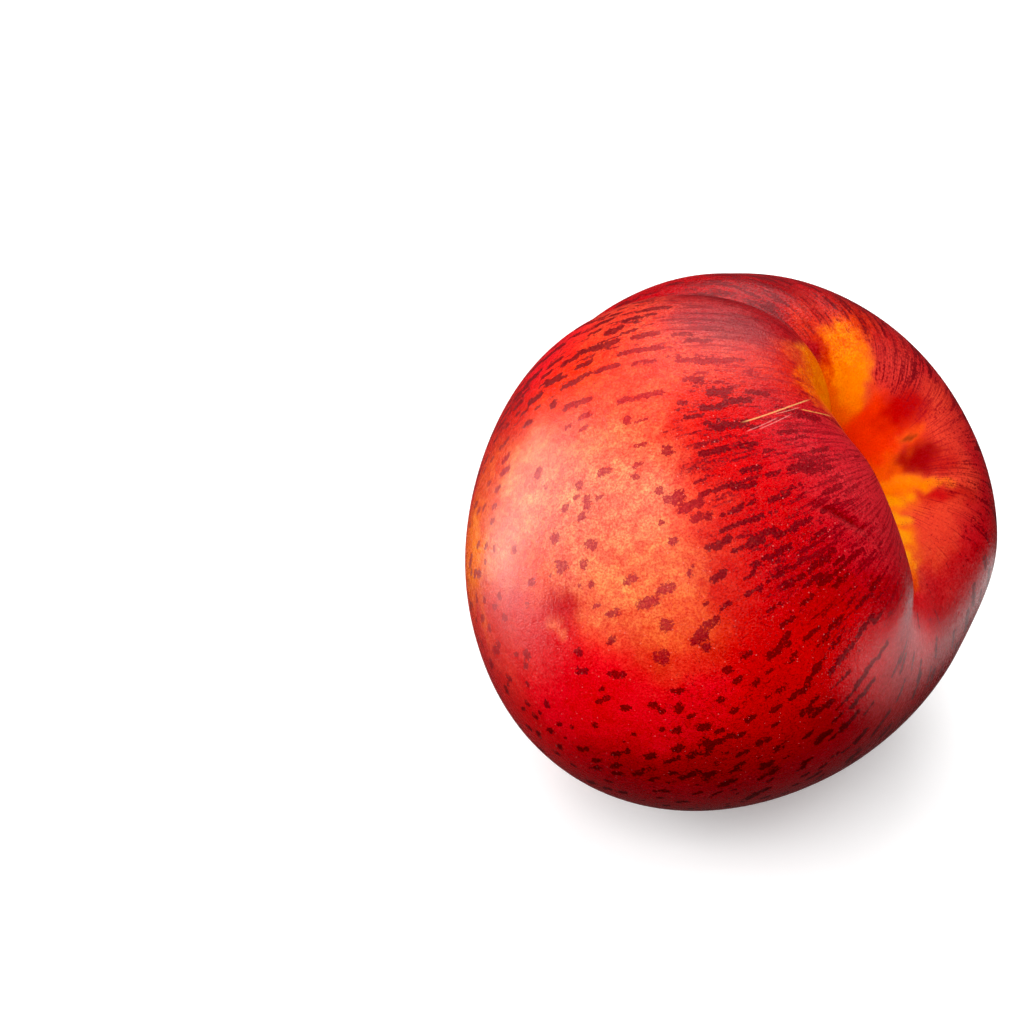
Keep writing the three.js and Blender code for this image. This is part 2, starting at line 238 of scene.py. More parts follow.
# Tilt, turn and spread in degrees; ground; spots; then how much of freckles, streaks, fine lines and
# pale dots. A place on the skin takes after the zones whose middles are near.
GROUND, SPOTS, FRECKLES, STREAKS, LINES, DOTS = 3, 4, 5, 6, 7, 8
ZONES = [
    # near cheek
    (85, 70, 13, SALMON, ROSE_SPOT, 0.10, 0.0, 0.0, 0.4),
    (101, 79, 4.5, CORAL, ROSE_SPOT, 0.2, 0.0, 0.0, 0.5),
    (99, 66, 12, SALMON, ROSE_SPOT, 0.10, 0.0, 0.0, 0.4),
    (80, 92, 10, PEACH, ROSE_SPOT, 0.10, 0.0, 0.0, 0.4),
    (77, 100, 7, ORANGE, RED_SPOT, 0.3, 0.0, 0.0, 0.5),
    (84, 104, 6, SCARLET, RED_SPOT, 0.3, 0.0, 0.0, 0.8),
    (96, 104, 8, BLAZE, DARK_SPOT, 0.2, 0.0, 0.0, 1.0),
    (107, 91, 7, ROSE, RED_SPOT, 0.3, 0.0, 0.0, 0.6),
    (119, 92, 8, BLUSH, RED_SPOT, 0.3, 0.0, 0.0, 0.5),
    (84, 53, 8, CORAL, RED_SPOT, 0.4, 0.2, 0.1, 0.4),
    (74, 62, 6, PEACH, RED_SPOT, 0.3, 0.1, 0.0, 0.5),
    (71, 56, 8, CORAL, RED_SPOT, 0.4, 0.2, 0.1, 0.5),
    # left edge; the yellow here is a painted reflection of yellow flesh beside the fruit
    (127, 63, 7, YELLOW, RED_SPOT, 0.5, 0.3, 0.0, 0.3),
    (116, 50, 9, ORANGE, RED_SPOT, 0.8, 0.5, 0.0, 0.3),
    (112, 36, 9, RED, DARK_SPOT, 0.8, 0.7, 0.0, 0.3),
    (130, 40, 8, RED, DARK_SPOT, 0.8, 0.4, 0.0, 0.3),
    # upper left, towards the seam
    (90, 38, 9, VERMILION, DARK_SPOT, 0.5, 0.65, 0.3, 0.3),
    (80, 30, 9, CORAL, DARK_SPOT, 0.4, 0.65, 0.5, 0.3),
    (97, 30, 8, BLAZE, DARK_SPOT, 0.5, 0.65, 0.4, 0.3),
    (70, 38, 8, CORAL, RED_SPOT, 0.4, 0.6, 0.6, 0.3),
    # top
    (60, 28, 9, DUSK, DARK_SPOT, 0.0, 0.2, 1.0, 0.5),
    (51, 31, 8, DUSK, DARK_SPOT, 0.0, 0.35, 1.0, 0.4),
    (56, 45, 7, CORAL, RED_SPOT, 0.2, 0.6, 0.8, 0.3),
    (44, 42, 7, SCARLET, RED_SPOT, 0.0, 0.5, 0.9, 0.1),
    (46, 54, 6, CERISE, DARK_SPOT, 0.2, 0.6, 0.8, 0.3),
    # front
    (62.5, 62, 5.5, RED, DARK_SPOT, 0.7, 0.7, 0.3, 0.8),
    (56.5, 57, 6, RED, DARK_SPOT, 0.7, 0.7, 0.5, 0.8),
    (66.5, 82, 4, CORAL, RED_SPOT, 0.6, 0.45, 0.1, 0.8),
    (58, 70, 7, RED, DARK_SPOT, 0.9, 0.65, 0.3, 0.9),
    (62, 96, 9, RED, DARK_SPOT, 0.8, 0.45, 0.1, 1.0),
    (52, 84, 9, RED, DARK_SPOT, 0.9, 0.65, 0.4, 0.8),
    (51, 106, 9, CRIMSON, DARK_SPOT, 0.9, 0.85, 0.5, 0.8),
    (66, 100, 4.5, RED, DARK_SPOT, 0.8, 0.4, 0.1, 1.0),
    (71, 107, 5, RED, DARK_SPOT, 0.8, 0.3, 0.1, 1.0),
    (66, 112, 9, RED, DARK_SPOT, 0.8, 0.2, 0.1, 0.9),
    (57, 122, 9, RED, DARK_SPOT, 0.8, 0.5, 0.2, 0.7),
    # crest over the hollow: red skin with a painted pinkish sheen, and painted light along its rim
    (39, 72, 7, CREST_RED_AND_SHEEN, PLUM_SPOT, 0.3, 0.75, 1.0, 0.2),
    (36, 90, 7, CREST_RED_AND_SHEEN, PLUM_SPOT, 0.2, 0.75, 1.0, 0.2),
    (31, 74, 4.5, CREST_RED_AND_SHEEN, PLUM_SPOT, 0.0, 0.3, 1.0, 0.1),
    (26, 97, 6, CREST_RED_AND_SHEEN, PLUM_SPOT, 0.0, 0.3, 1.0, 0.1),
    (30, 118, 6, CREST_RED_AND_SHEEN, PLUM_SPOT, 0.0, 0.3, 1.0, 0.1),
    (37, 108, 7, CREST_RED_AND_SHEEN, PLUM_SPOT, 0.1, 0.8, 1.0, 0.2),
    (42, 126, 7, CRIMSON, DARK_SPOT, 0.2, 0.6, 0.9, 0.3),
    (36, 138, 5, CERISE, DARK_SPOT, 0.0, 0.3, 0.8, 0.1),
    # bottom front
    (82, 116, 9, BLAZE, DARK_SPOT, 0.9, 0.3, 0.0, 1.0),
    (101, 107, 8, RED, DARK_SPOT, 0.3, 0.0, 0.0, 1.0),
    (110, 105, 8, BLAZE, DARK_SPOT, 0.3, 0.0, 0.0, 0.9),
    (96, 115, 7, BLAZE, DARK_SPOT, 0.5, 0.0, 0.0, 1.0),
    (124, 113, 9, RED, BLACK_SPOT, 0.5, 0.0, 0.0, 0.8),
    (74, 128, 8, RED, DARK_SPOT, 0.9, 0.4, 0.0, 0.8),
    (70, 142, 9, CRIMSON, BLACK_SPOT, 0.6, 0.3, 0.0, 0.5),
    (88, 135, 10, CRIMSON, BLACK_SPOT, 1.0, 0.45, 0.0, 0.6),
    (108, 129, 11, CRIMSON, BLACK_SPOT, 1.0, 0.35, 0.0, 0.6),
    # right shoulder
    (50, 140, 8, FLUSH, DARK_SPOT, 0.1, 0.2, 0.1, 0.3),
    (47, 165, 9, FLUSH, DARK_SPOT, 0.1, 0.3, 0.2, 0.2),
    (58, 165, 9, ROSE, BLACK_SPOT, 0.2, 0.4, 0.1, 0.3),
    (76, 165, 12, CRIMSON, BLACK_SPOT, 0.4, 0.3, 0.0, 0.4),
    # far lip, seam side
    (64, 15, 5, WINE, DARK_SPOT, 0.0, 0.5, 0.8, 0.1),
    (52, 18, 5, CRIMSON, DARK_SPOT, 0.0, 0.5, 0.9, 0.1),
    (45, 22, 3.5, CRIMSON, DARK_SPOT, 0.0, 0.3, 0.9, 0.0),
    (54, 2, 6, CRIMSON, DARK_SPOT, 0.0, 0.9, 0.9, 0.1),
    (43, 8, 5, CERISE, DARK_SPOT, 0.0, 0.8, 0.9, 0.0),
    (66, 0, 7, WINE, DARK_SPOT, 0.0, 1.0, 0.9, 0.1),
    (82, 0, 9, CRIMSON, DARK_SPOT, 0.1, 0.7, 0.6, 0.2),
    (55, -14, 6, CRIMSON, DARK_SPOT, 0.1, 0.7, 0.8, 0.1),
    (46, -15, 5, BLUSH, DARK_SPOT, 0.0, 0.6, 0.9, 0.1),
    (41, -28, 5, SCARLET, DARK_SPOT, 0.0, 0.8, 0.8, 0.1),
    (50, -32, 7, CRIMSON, DARK_SPOT, 0.3, 0.8, 0.5, 0.2),
    (32, -45, 6, BLUSH, PLUM_SPOT, 0.0, 0.7, 0.9, 0.0),
    (33, -60, 6, CERISE, DARK_SPOT, 0.1, 0.9, 0.7, 0.1),
    (44, -60, 9, CERISE, DARK_SPOT, 0.5, 0.7, 0.3, 0.3),
    # hollow
    (35, -16, 4, YELLOW, RED_SPOT, 0.0, 0.0, 0.1, 0.0),
    (29, -13, 4, YELLOW, RED_SPOT, 0.0, 0.0, 0.1, 0.0),
    (25, -17, 3.5, YELLOW, RED_SPOT, 0.0, 0.0, 0.0, 0.0),
    (37, -8.5, 2.2, AMBER, RED_SPOT, 0.0, 0.0, 0.1, 0.0),
    (38, -2, 3, CRIMSON, DARK_SPOT, 0.0, 0.0, 0.4, 0.0),
    (43, -3, 3.5, SCARLET, DARK_SPOT, 0.0, 0.4, 0.9, 0.0),
    (29, -3, 3.5, TANGERINE, RED_SPOT, 0.0, 0.0, 0.1, 0.0),
    (21, -9, 4, TANGERINE, RED_SPOT, 0.0, 0.0, 0.0, 0.0),
    (16, -36, 4, VERMILION, RED_SPOT, 0.0, 0.0, 0.0, 0.0),
    (12, -62, 4, VERMILION, RED_SPOT, 0.0, 0.0, 0.0, 0.0),
    (11, -92, 3, TANGERINE, RED_SPOT, 0.0, 0.0, 0.0, 0.0),
    (31, 30, 5, YELLOW, RED_SPOT, 0.0, 0.0, 0.1, 0.0),
    (16, 40, 7, AMBER, RED_SPOT, 0.0, 0.0, 0.1, 0.0),
    (10, 110, 7, AMBER, RED_SPOT, 0.0, 0.0, 0.1, 0.0),
    (3, -60, 4, AMBER, RED_SPOT, 0.0, 0.0, 0.0, 0.0),
    (13, -129, 3, YELLOW, RED_SPOT, 0.0, 0.0, 0.0, 0.0),
    (16.5, -150, 3.2, YELLOW, RED_SPOT, 0.0, 0.0, 0.1, 0.0),
    (23.5, -168, 3, YELLOW, RED_SPOT, 0.0, 0.0, 0.1, 0.0),
    (29.5, -178, 3, YELLOW, RED_SPOT, 0.0, 0.0, 0.2, 0.0),
    (34, 178, 2.5, AMBER, RED_SPOT, 0.0, 0.0, 0.2, 0.0),
    (22, 170, 6, YELLOW, RED_SPOT, 0.0, 0.1, 0.2, 0.0),
    # far lobe
    (25, -72, 5, CORAL, RED_SPOT, 0.0, 0.6, 0.9, 0.0),
    (23, -92, 5, CORAL, RED_SPOT, 0.0, 0.4, 0.9, 0.0),
    (24, -118, 5, CORAL, DARK_SPOT, 0.0, 0.6, 0.9, 0.0),
    (20, -134, 3, CORAL, RED_SPOT, 0.0, 0.2, 0.7, 0.0),
    (24, -143, 3.5, CORAL, RED_SPOT, 0.0, 0.3, 0.7, 0.0),
    (29, -153, 3.5, CORAL, RED_SPOT, 0.0, 0.3, 0.7, 0.0),
    (31.5, -161, 2.5, CORAL, RED_SPOT, 0.0, 0.3, 0.6, 0.0),
    (38.5, -156, 7, ROSE, DARK_SPOT, 0.0, 0.5, 0.4, 0.1),
    (34, -140, 5, CERISE, DARK_SPOT, 0.0, 0.7, 0.6, 0.1),
    (30, -88, 6, CERISE, DARK_SPOT, 0.0, 0.8, 0.8, 0.1),
    (32, -115, 6, CERISE, DARK_SPOT, 0.0, 0.8, 0.8, 0.1),
    (44, -110, 10, CRIMSON, DARK_SPOT, 0.4, 0.6, 0.3, 0.2),
    (48, -148, 9, CRIMSON, DARK_SPOT, 0.2, 0.5, 0.3, 0.2),
    # sides that the photograph hides
    (62, -35, 13, CRIMSON, DARK_SPOT, 0.7, 0.7, 0.3, 0.4),
    (62, -80, 16, RED, DARK_SPOT, 0.8, 0.5, 0.2, 0.5),
    (66, -125, 16, SCARLET, DARK_SPOT, 0.8, 0.4, 0.1, 0.5),
    (75, -165, 15, CRIMSON, DARK_SPOT, 0.7, 0.3, 0.0, 0.5),
    (92, -20, 15, RED, DARK_SPOT, 0.6, 0.5, 0.1, 0.5),
    (95, -65, 18, SCARLET, DARK_SPOT, 0.7, 0.2, 0.0, 0.7),
    (98, -110, 18, ORANGE, RED_SPOT, 0.5, 0.1, 0.0, 0.7),
    (100, -150, 17, SCARLET, DARK_SPOT, 0.6, 0.1, 0.0, 0.7),
    (120, 0, 16, RED, DARK_SPOT, 0.5, 0.3, 0.0, 0.5),
    (125, -50, 18, ORANGE, RED_SPOT, 0.4, 0.1, 0.0, 0.6),
    (130, -100, 18, AMBER, RED_SPOT, 0.3, 0.0, 0.0, 0.6),
    (128, -150, 18, ORANGE, RED_SPOT, 0.4, 0.0, 0.0, 0.7),
    (115, 160, 16, WINE, BLACK_SPOT, 0.5, 0.1, 0.0, 0.6),
    (140, 130, 15, CRIMSON, DARK_SPOT, 0.4, 0.0, 0.0, 0.6),
    (142, 50, 13, SCARLET, DARK_SPOT, 0.4, 0.1, 0.0, 0.5),
    (160, -90, 16, ORANGE, RED_SPOT, 0.3, 0.0, 0.0, 0.6),
    (165, 60, 14, SCARLET, DARK_SPOT, 0.3, 0.0, 0.0, 0.6),
]

# tilt, turn, half length along the meridian, half width, lean in degrees; softness; colour; strength
PATCHES = [
    # painted shade: the next two patches darken the near lobe's top edge where it falls into the furrow
    (52, 30, 5.0, 4.5, 0, 0.9, (0.24, 0.016, 0.022), 0.6),
    (63, 12.5, 10, 4.6, -16, 0.6, (0.22, 0.0006, 0.004), 0.9),
    (72, -3, 12, 1.0, 0, 0.9, (0.22, 0.0006, 0.003), 0.6),
    (58, -7, 10, 1.0, 4, 0.9, (0.25, 0.0006, 0.003), 0.6),
    (50, 9, 7, 1.2, -8, 0.9, (0.24, 0.0006, 0.003), 0.6),
    (31.5, -15, 7.6, 3.8, 0, 0.3, YELLOW, 0.95),
    # painted shade: a darker orange strip in the deep groove beside the near lobe's wall
    (37, -4, 6.0, 1.2, 0, 0.5, (0.62, 0.022, 0.001), 0.8),
    (36, 42, 3.0, 5.5, 0, 0.4, (0.99, 0.16, 0.004), 0.95),
    (41, 33, 3.0, 3.0, 20, 0.8, ORANGE, 0.5),
    (20.5, -56, 4.4, 4.8, 0, 0.7, (0.48, 0.0006, 0.0006), 1.0),
    (17, -99, 3.4, 4.4, 10, 0.6, (0.33, 0.0005, 0.0008), 1.0),
    (21.5, -107, 2.8, 2.6, 0, 0.9, (0.50, 0.002, 0.003), 0.7),
    (24.5, -127, 4.0, 1.8, 0, 0.9, (0.45, 0.001, 0.003), 0.7),
    (15.5, -121, 5.0, 1.2, 0, 0.7, YELLOW, 0.9),
    (17, -75, 2.0, 1.6, 0, 0.7, (0.85, 0.08, 0.004), 0.7),
    (17, -76, 0.9, 0.7, 30, 0.6, (0.20, 0.03, 0.004), 0.7),
    (20.5, -131, 3.0, 1.6, 0, 0.7, (0.58, 0.003, 0.006), 0.9),
    (16, -142, 2.0, 1.6, 0, 0.5, GOLD, 0.9),
    (20, -154, 2.0, 1.6, 0, 0.5, GOLD, 0.9),
    (24, -165, 2.0, 1.6, 0, 0.5, GOLD, 0.9),
    (28, -173, 2.0, 1.6, 0, 0.5, GOLD, 0.9),
    (32, -179, 1.8, 1.4, 0, 0.6, (0.98, 0.20, 0.02), 0.9),
    (98, 89, 4.0, 3.6, 0, 0.8, (0.50, 0.003, 0.010), 0.9),
    (101.5, 92, 1.2, 2.1, 0, 0.6, (0.85, 0.15, 0.07), 0.8),
    # painted reflection: a streak of yellow flesh reflected in the lower left edge
    (125, 84, 5.5, 1.3, 70, 0.7, (0.85, 0.12, 0.02), 0.6),
]

# tilt and turn in degrees; length along the meridian and width in mm: the rosettes and dashes
# that stand alone on the near cheek
LONE_FRECKLES = [
    (97, 61, 1.8, 1.7), (95, 65, 0.8, 0.7), (87, 68, 1.2, 1.1), (81, 67, 1.8, 1.2), (91, 71, 1.2, 1.1),
    (88, 70, 1.2, 0.8), (86, 72, 1.2, 2.0), (88, 74, 1.2, 1.1), (83, 72, 1.4, 0.8), (74, 68, 1.4, 0.9),
    (75, 70.5, 1.2, 0.9), (71, 74.5, 1.4, 1.2), (69, 77, 2.8, 1.9), (66.5, 80, 3.2, 1.6),
    (65.5, 83, 2.8, 1.4), (73, 81, 0.9, 0.8), (68, 66.5, 1.7, 1.5), (73, 64, 2.3, 0.7),
    (84, 53, 2.3, 1.1), (84.5, 56, 1.9, 0.8), (88.5, 54, 1.5, 0.8), (86, 49, 5.2, 1.3),
    (72, 52.5, 6.6, 1.1), (75, 57.5, 1.4, 1.1), (72, 58.5, 1.7, 0.5), (93, 46, 2.0, 1.5),
    (99.5, 40, 3.2, 1.4), (100.5, 46.5, 2.6, 1.1), (63.5, 56, 1.7, 0.8), (64.5, 58, 0.8, 0.7),
    (56.5, 54, 2.8, 1.6), (57.5, 58.5, 4.2, 1.1), (110, 46, 3.2, 0.9), (108, 51.5, 2.4, 1.2),
    (108, 55, 2.8, 1.2), (111, 58, 1.9, 1.1), (112.5, 61.5, 1.6, 0.9), (95, 76, 1.7, 1.6),
    (87.5, 79.5, 1.6, 1.9), (72, 85, 1.7, 1.2), (106.5, 74, 1.1, 0.9), (113.5, 71, 1.0, 0.8),
    (95, 81.5, 2.2, 1.9), (90.5, 83, 1.5, 1.4), (98.5, 82.5, 0.7, 0.6), (104, 82, 1.7, 1.3),
    (92.5, 86.5, 1.1, 0.8), (90, 87, 1.2, 0.9), (82, 89, 2.5, 1.3), (76.5, 93.5, 2.3, 1.6),
    (72, 92.5, 1.4, 0.9), (70, 91.5, 1.2, 0.5), (66.5, 95.5, 2.6, 1.2), (64, 89.5, 3.8, 1.2),
    (91, 91, 1.2, 0.8), (88, 93.5, 2.3, 1.2), (81, 94.5, 3.1, 1.7), (80, 99.5, 2.4, 1.7),
    (106.5, 85.5, 0.9, 0.8), (91, 98, 2.0, 1.1), (98.5, 97.5, 1.6, 1.4), (83.5, 104.5, 2.4, 2.2),
    (71, 99, 1.2, 0.8), (68, 101.5, 2.0, 0.9), (72, 103, 3.2, 1.1), (75, 104.5, 2.7, 2.2),
    (75, 107, 1.2, 1.2), (100, 101.5, 2.3, 1.1), (94, 104, 1.8, 1.2), (92, 105, 1.4, 1.1),
    (84.5, 112, 2.2, 1.1), (78.5, 117.5, 1.8, 1.0), (73.5, 113, 2.6, 1.7), (98, 106, 1.7, 0.8),
    (99, 108, 3.0, 0.9), (96, 111, 1.9, 1.1), (86, 115.5, 1.9, 1.5), (85.5, 118, 1.5, 0.9),
    (110, 112, 1.4, 0.8), (89.5, 120, 1.5, 1.4), (85, 121.5, 2.1, 1.7), (101.5, 117.5, 1.5, 0.7),
    (111.5, 95, 1.9, 1.6), (123.5, 92.5, 2.6, 1.5), (84.5, 126, 4.3, 1.2), (88, 127.5, 2.2, 1.1),
    (95, 126, 3.0, 1.1), (102, 126.5, 3.5, 0.9), (95.5, 131.5, 4.0, 1.3), (80, 29, 3.4, 1.8),
    (87, 33, 3.8, 1.9), (81, 34, 4.4, 1.7), (72, 34, 4.4, 1.5), (73, 39, 4.4, 1.2), (85, 42, 2.8, 1.1),
    (79, 42, 4.4, 1.1), (71, 43, 4.0, 0.9), (76, 26, 3.0, 1.3), (71, 23, 3.8, 1.2), (64, 35, 3.2, 0.8),
    (61, 50, 3.2, 1.2), (56, 54, 3.6, 1.4), (94, 38, 3.2, 1.5), (91, 34, 2.6, 1.2),
]
# the part of the near cheek where no others are added, in degrees
SPARSE_TILT, SPARSE_TURN = (64, 112), (46, 112)

# how far the colours are shifted, as a share of the radius, and the size in mm of what shifts them
COARSE_DRIFT, COARSE_PITCH = 0.055, 4.5
FINE_DRIFT, FINE_PITCH = 0.03, 1.3
PATCH_COARSE_SHARE, PATCH_FINE_SHARE = 0.35, 0.8

# random freckles: how many places are tried, and the room each keeps in mm
FRECKLE_TRIES = 7600
FRECKLE_GAP, FRECKLE_CLEARANCE = 1.1, 0.55
WANTED_SHARE, WANTED_LEAST = 0.9, 0.03
# between these tilts in degrees freckles turn into strokes, which are longer and thinner
STROKE_TILT = (78, 58)
STROKE_STRETCH, STROKE_THINNING = 1.9, 0.25
# the blots that a freckle is made of, in mm, and how many there may be
SMALLEST_BLOT, LARGEST_BLOT, MOST_BLOTS = 0.3, 0.72, 12
# how far from a blot's middle the skin can feel it: a share of its size and a margin in mm
BLOT_REACH, BLOT_MARGIN = 1.15, 0.7
# a freckle that is longer than this share of its width has its blots in a row
ROW_FROM = 1.6
NO_FRECKLE = -1.0
# more than any patch's reach: the far side of the fruit
BEYOND_REACH = 9


def toward(tilt_angle, turn_angle):
    """Seam, cheek and stem parts of a direction from the fruit's middle."""
    return np.stack([
        np.sin(tilt_angle) * np.cos(turn_angle),
        np.sin(tilt_angle) * np.sin(turn_angle),
        np.cos(tilt_angle) * np.ones_like(turn_angle),
    ], axis=-1)


def zone_weights(directions):
    """How much each zone counts in each direction, one row a zone; they add up to 1."""
    pull = []
    for zone in ZONES:
        centre = toward(np.array(zone[0] * DEG), np.array(zone[1] * DEG))
        away = np.arccos(np.clip(directions @ centre, -1, 1)) / DEG
        pull.append(-((away / zone[2]) ** 2))
    pull = np.array(pull)
    weights = np.exp(pull - pull.max(axis=0))
    return weights / weights.sum(axis=0)


def zone_values(weights, column):
    """One column of the zones' table, mixed by weight."""
    return weights.T @ np.array([zone[column] for zone in ZONES], dtype=float)


def patch_cover(directions, patch):
    """1 inside the patch, 0 outside it, and a soft edge between."""
    patch_tilt, patch_turn, half_length, half_width, lean, softness = patch[:6]
    t = patch_tilt * DEG
    p = patch_turn * DEG
    down = np.array([np.cos(t) * np.cos(p), np.cos(t) * np.sin(p), -np.sin(t)])
    around = np.array([-np.sin(p), np.cos(p), 0])
    outward = np.array([np.sin(t) * np.cos(p), np.sin(t) * np.sin(p), np.cos(t)])
    x = directions @ down / DEG
    y = directions @ around / DEG
    along = x * np.cos(lean * DEG) + y * np.sin(lean * DEG)
    across = y * np.cos(lean * DEG) - x * np.sin(lean * DEG)
    reach = np.hypot(along / half_length, across / half_width)
    reach = np.where(directions @ outward > 0, reach, BEYOND_REACH)
    return 1 - smooth_step(reach, 1 - softness, 1 + softness)


def drifting(values, pitch, number):
    """Smooth noise per vertex, about -1 to 1, with features of the given size in mm."""
    shift = Vector((number * 17.3, number * 5.1, number * 9.7))
    return np.array([noise_vector(Vector(value) / pitch + shift) for value in values])


def shifted(directions, shift):
    """Directions moved by a shift that is given in the lying fruit's frame."""
    moved = directions + shift @ np.array(lying_axes()).T
    return moved / np.linalg.norm(moved, axis=1)[:, None]


directions = toward(tilt, turn)
coarse_drift = drifting(points, COARSE_PITCH, 1) * COARSE_DRIFT
fine_drift = drifting(points, FINE_PITCH, 2) * FINE_DRIFT
weights = zone_weights(shifted(directions, coarse_drift + fine_drift))
ground = zone_values(weights, GROUND)
spots = zone_values(weights, SPOTS)
freckles_wanted = zone_values(weights, FRECKLES)
streaks = zone_values(weights, STREAKS)
lines = zone_values(weights, LINES)
dots = zone_values(weights, DOTS)
steady = shifted(directions, PATCH_COARSE_SHARE * coarse_drift + PATCH_FINE_SHARE * fine_drift)
for patch in PATCHES:
    tone, strength = patch[6:]
    cover = (patch_cover(steady, patch) * strength)[:, None]
    ground = ground * (1 - cover) + np.array(tone) * cover

# ---------------------------------------------------------------- freckles: a field, positive inside

tree = KDTree(len(points))
for index, point in enumerate(points):
    tree.insert(point, index)
tree.balance()
freckle_field = np.full(len(points), NO_FRECKLE)
rng = np.random.default_rng(FRECKLE_SEED)


def tangents(centre_tilt, centre_turn):
    """A place on the skin, and the directions there along the meridian and across it."""
    step = 0.5 * DEG
    t = np.array([0, step, 0]) + centre_tilt
    p = np.array([0, 0, step]) + centre_turn
    here, further, beside = skin_points(t, p)
    along = (further - here) / np.linalg.norm(further - here)
    across = beside - here - along * np.dot(beside - here, along)
    return here, along, across / np.linalg.norm(across)


def add_blot(centre_tilt, centre_turn, along_shift, across_shift, half_length, half_width):
    """One round or oval blot, its middle shifted in mm from the given place."""
    here, along, across = tangents(centre_tilt, centre_turn)
    middle = here + along * along_shift + across * across_shift
    found = tree.find_range(middle, BLOT_REACH * max(half_length, half_width) + BLOT_MARGIN)
    if not found:
        return
    rows = np.array([index for _, index, _ in found])
    gap = points[rows] - middle
    reach = np.sqrt((gap @ along / half_length) ** 2 + (gap @ across / half_width) ** 2)
    freckle_field[rows] = np.maximum(freckle_field[rows], 1 - reach)


def add_freckle(centre_tilt, centre_turn, length, width):
    """A cluster of small blots that together fill the given length and width in mm."""
    blot = np.clip(0.36 * min(length, width) + 0.12, SMALLEST_BLOT, LARGEST_BLOT)
    count = int(np.clip(round(1.1 * length * width / (3.1 * blot * blot)), 1, MOST_BLOTS))
    for number in range(count):
        place = (number + 0.5) / count * 2 - 1
        if length > ROW_FROM * width:
            along_shift = place * (length / 2 - 0.6 * blot) + rng.normal(0, 0.12)
            across_shift = rng.uniform(-1, 1) * max(width / 2 - 0.7 * blot, 0.05)
        else:
            angle = rng.uniform(0, 2 * np.pi)
            out = np.sqrt(rng.uniform(0.05, 1)) if count > 1 else 0
            along_shift = out * np.cos(angle) * max(length / 2 - 0.55 * blot, 0)
            across_shift = out * np.sin(angle) * max(width / 2 - 0.55 * blot, 0)
        stretch = rng.uniform(1.0, 1.35)
        add_blot(centre_tilt, centre_turn, along_shift, across_shift, blot * stretch, blot)


for freckle_tilt, freckle_turn, length, width in LONE_FRECKLES:
    add_freckle(freckle_tilt * DEG, freckle_turn * DEG, length, width)

# the others: the more a zone wants them, the likelier a tried place keeps its freckle
try_tilt = np.arccos(rng.uniform(-1, 1, FRECKLE_TRIES))
try_turn = rng.uniform(-np.pi, np.pi, FRECKLE_TRIES)
try_weights = zone_weights(toward(try_tilt, try_turn))
wanted = zone_values(try_weights, FRECKLES)
strokes = smooth_step(-try_tilt / DEG, -STROKE_TILT[0], -STROKE_TILT[1])
strokes = np.maximum(strokes, zone_values(try_weights, STREAKS))
luck = rng.uniform(0, 1, FRECKLE_TRIES)
try_places = skin_points(try_tilt, try_turn)
lone_tilt, lone_turn = np.array([row[:2] for row in LONE_FRECKLES]).T * DEG
taken = list(skin_points(lone_tilt, lone_turn))
tries = zip(try_tilt, try_turn, try_places, wanted, strokes, luck)
for here_tilt, here_turn, here, want, stroke, draw in tries:
    low_enough = SPARSE_TILT[0] < here_tilt / DEG < SPARSE_TILT[1]
    on_cheek = low_enough and SPARSE_TURN[0] < here_turn / DEG < SPARSE_TURN[1]
    size = rng.uniform(0.8, 1.5) * rng.uniform(0.75, 1.35)
    nearest = np.linalg.norm(np.array(taken) - here, axis=1).min()
    unlucky = draw > want * WANTED_SHARE - WANTED_LEAST
    if unlucky or on_cheek or nearest < FRECKLE_GAP * size + FRECKLE_CLEARANCE:
        continue
    taken.append(here)
    length = size * (1.1 + STROKE_STRETCH * stroke)
    add_freckle(here_tilt, here_turn, length, size * (1 - STROKE_THINNING * stroke))

# ---------------------------------------------------------------- crease, cracks and ticks, round a middle


def local_mm(frame_place, places):
    """How far places are along and across the meridian from a middle, and how far away, in mm."""
    here, along, across = tangents(frame_place[0] * DEG, frame_place[1] * DEG)
    gap = places - here
    return gap @ along, gap @ across, np.linalg.norm(gap, axis=-1)


CRACKS_MIDDLE, CREASE_MIDDLE, TICKS_MIDDLE = (45, 59.5), (38.5, 101), (49.5, 134)
# start and end as tilt and turn in degrees; bow and half width in mm; tone; strength
CRACKS = [
    ((53, 63.5), (35.5, 52.4), 0.6, 0.11, (0.75, 0.36, 0.12), 0.85),
    ((39.4, 59), (29.5, 56), 0.35, 0.09, (0.80, 0.36, 0.08), 0.75),
    ((52.2, 66.1), (44.5, 62.4), 0.15, 0.08, (0.78, 0.22, 0.20), 0.6),
    ((49.5, 65.9), (41.5, 61.2), 0.15, 0.07, (0.80, 0.25, 0.22), 0.6),
    ((45.5, 61.6), (39.2, 58.2), 0.1, 0.07, (0.80, 0.28, 0.20), 0.55),
]
TICKS = [
    ((50.4, 129.5), (49.6, 131.0), 0.2, 0.10, (0.40, 0.09, 0.06), 0.7),
    ((50.2, 134.0), (48.6, 136.5), 0.35, 0.11, (0.62, 0.16, 0.10), 0.8),
    ((49.9, 139.5), (48.7, 141.5), -0.3, 0.10, (0.62, 0.16, 0.10), 0.8),
]
CREASE = ((46, 86), (35.5, 110))
# in mm
CREASE_DEPTH, CREASE_WIDTH, CREASE_WITHIN = 0.42, 0.5, 12
# painted shade in the crease: how dark it is, and the colour of that shade
CREASE_SHADE, CREASE_SHADE_COLOUR = 0.9, (0.15, 0.0005, 0.002)
near_cracks = local_mm(CRACKS_MIDDLE, points)
near_crease = local_mm(CREASE_MIDDLE, points)
near_ticks = local_mm(TICKS_MIDDLE, points)


def local_ends(frame_place, start, end):
    """Where a line's two ends are along and across the meridian from a middle, in mm."""
    ends = skin_points(np.array([start[0], end[0]]) * DEG, np.array([start[1], end[1]]) * DEG)
    along, across, _ = local_mm(frame_place, ends)
    return along, across


